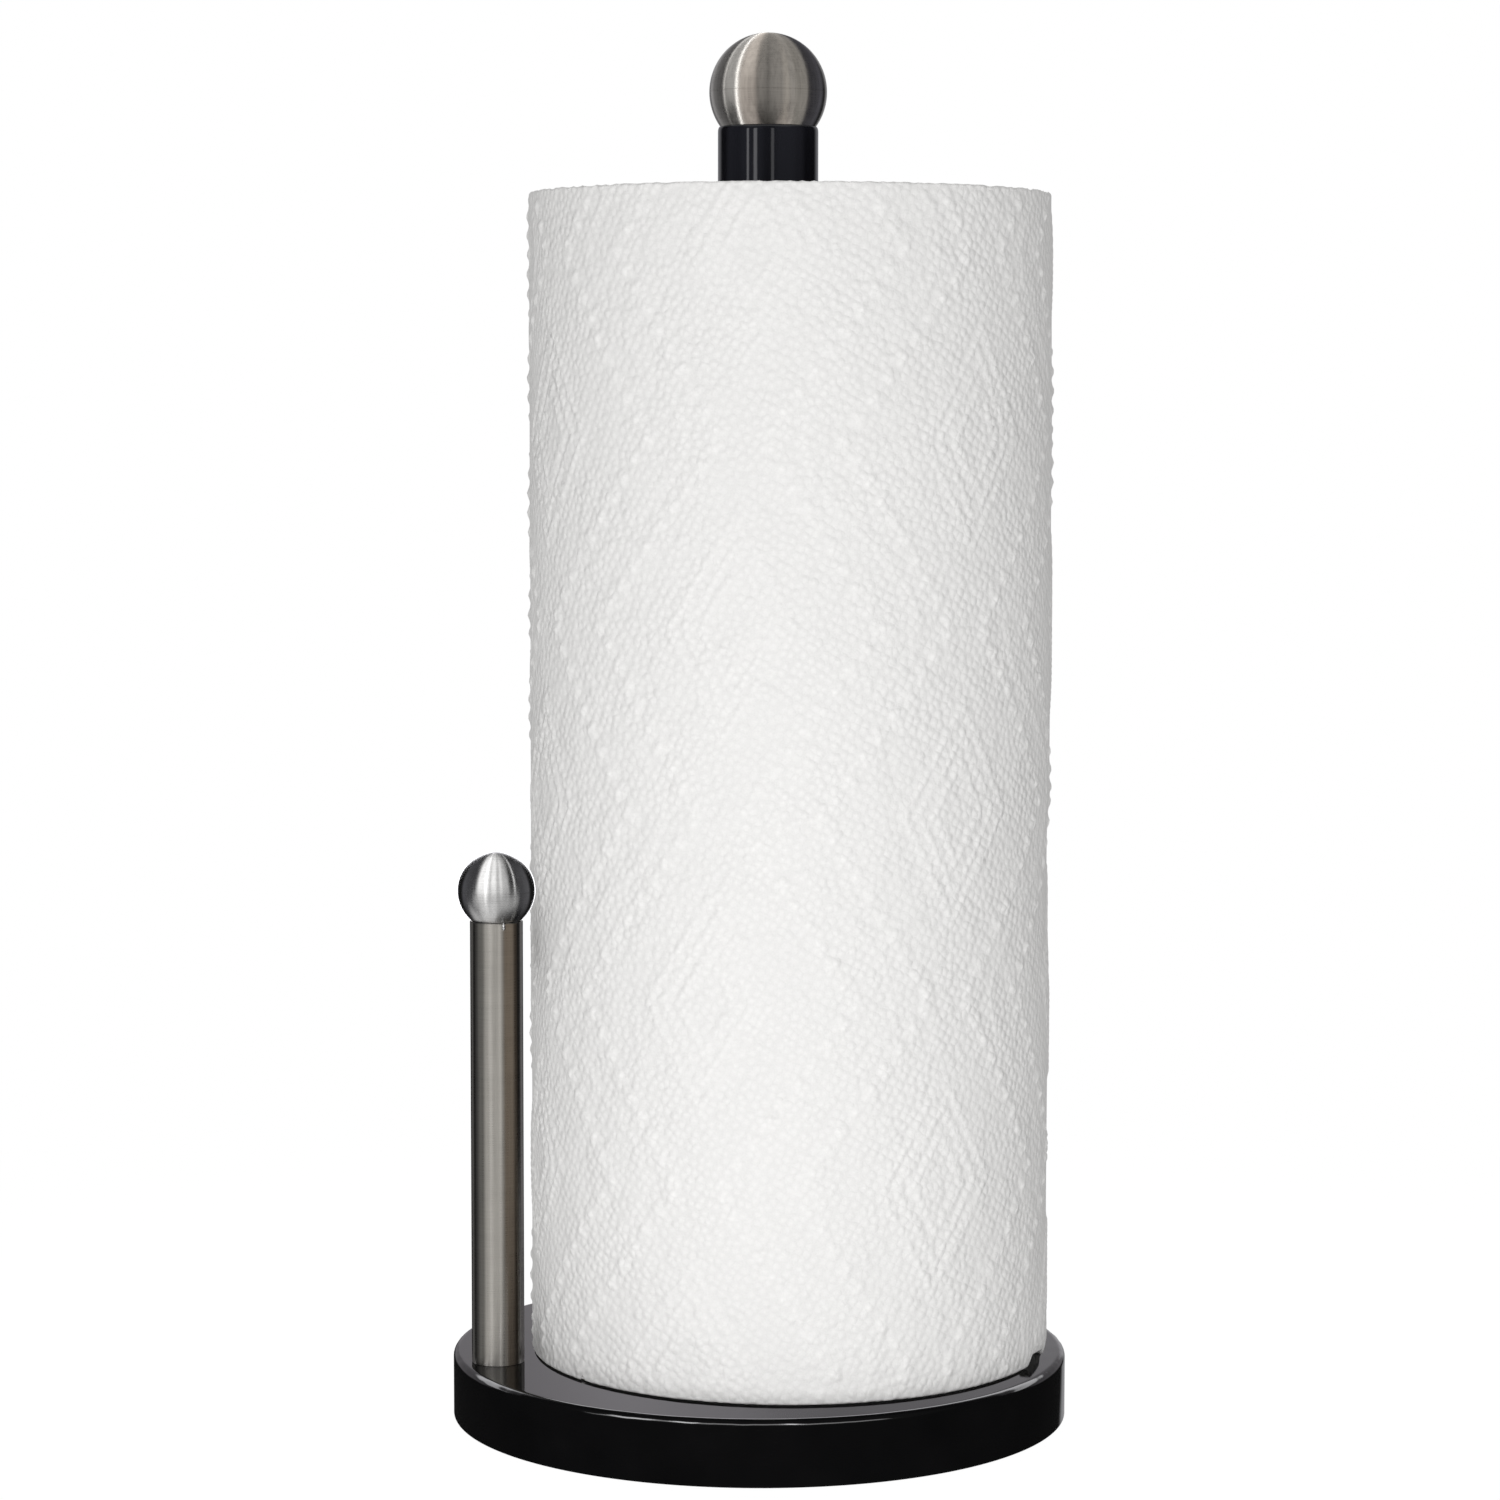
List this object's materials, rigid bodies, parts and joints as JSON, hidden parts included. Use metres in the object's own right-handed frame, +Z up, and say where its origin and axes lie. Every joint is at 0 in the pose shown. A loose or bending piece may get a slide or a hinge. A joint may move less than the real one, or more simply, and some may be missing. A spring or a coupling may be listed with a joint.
{
  "type": "paper towel holder",
  "caption": "Upright paper towel holder: weighted round base, black post with a steel ball, short side arm with a ball, and an embossed roll of white paper towels on its card core.",
  "frame": {"origin": "centre of the round base, on the surface that the feet rest on", "axes": "+Z up along the post; the side arm stands on the -X side, a little towards -Y, which is the front"},
  "size_m": [0.1492, 0.1492, 0.3338],
  "materials": {
    "gloss_black": "gloss",
    "black_enamel": "gloss",
    "brushed_steel": "satin",
    "polished_steel": "polished",
    "zinc_steel": "satin",
    "ballast_iron": "matte",
    "plate_black": "matte",
    "foot_rubber": "matte",
    "card": "matte",
    "wound_paper": "matte",
    "towel_paper": "matte"
  },
  "bodies": {
    "holder": {"base_cover": "gloss_black", "ballast_disc": "ballast_iron", "bottom_plate": "plate_black", "foot_pad_1": "foot_rubber", "foot_pad_2": "foot_rubber", "foot_pad_3": "foot_rubber", "foot_pad_4": "foot_rubber", "cover_screw_1": "zinc_steel", "cover_screw_2": "zinc_steel", "cover_screw_3": "zinc_steel", "post_tube": "black_enamel", "post_bottom_plug": "zinc_steel", "post_washer": "zinc_steel", "post_lock_washer": "zinc_steel", "post_bolt": "zinc_steel", "post_top_plug": "zinc_steel", "finial_stud": "zinc_steel", "finial_boss": "zinc_steel", "finial_lower_shell": "brushed_steel", "finial_upper_shell": "brushed_steel", "arm_tube": "brushed_steel", "arm_bottom_plug": "zinc_steel", "arm_washer": "zinc_steel", "arm_bolt": "zinc_steel", "arm_top_plug": "zinc_steel", "arm_ball_stud": "zinc_steel", "arm_ball_boss": "zinc_steel", "arm_ball_lower_shell": "polished_steel", "arm_ball_upper_shell": "polished_steel"},
    "core": {"roll_core": "card"},
    "paper": {"wound_paper": "wound_paper", "last_sheet": "towel_paper"}
  },
  "joints": [
    {"name": "roll_lift", "type": "slide", "parent": "holder", "child": "core", "axis": [0, 0, 1], "range_m": [0, 0.33]},
    {"name": "roll_spin", "type": "hinge", "parent": "core", "child": "paper", "pos_m": [0.007, 0.0012, 0.155], "axis": [0, 0, 1], "continuous": true}
  ]
}
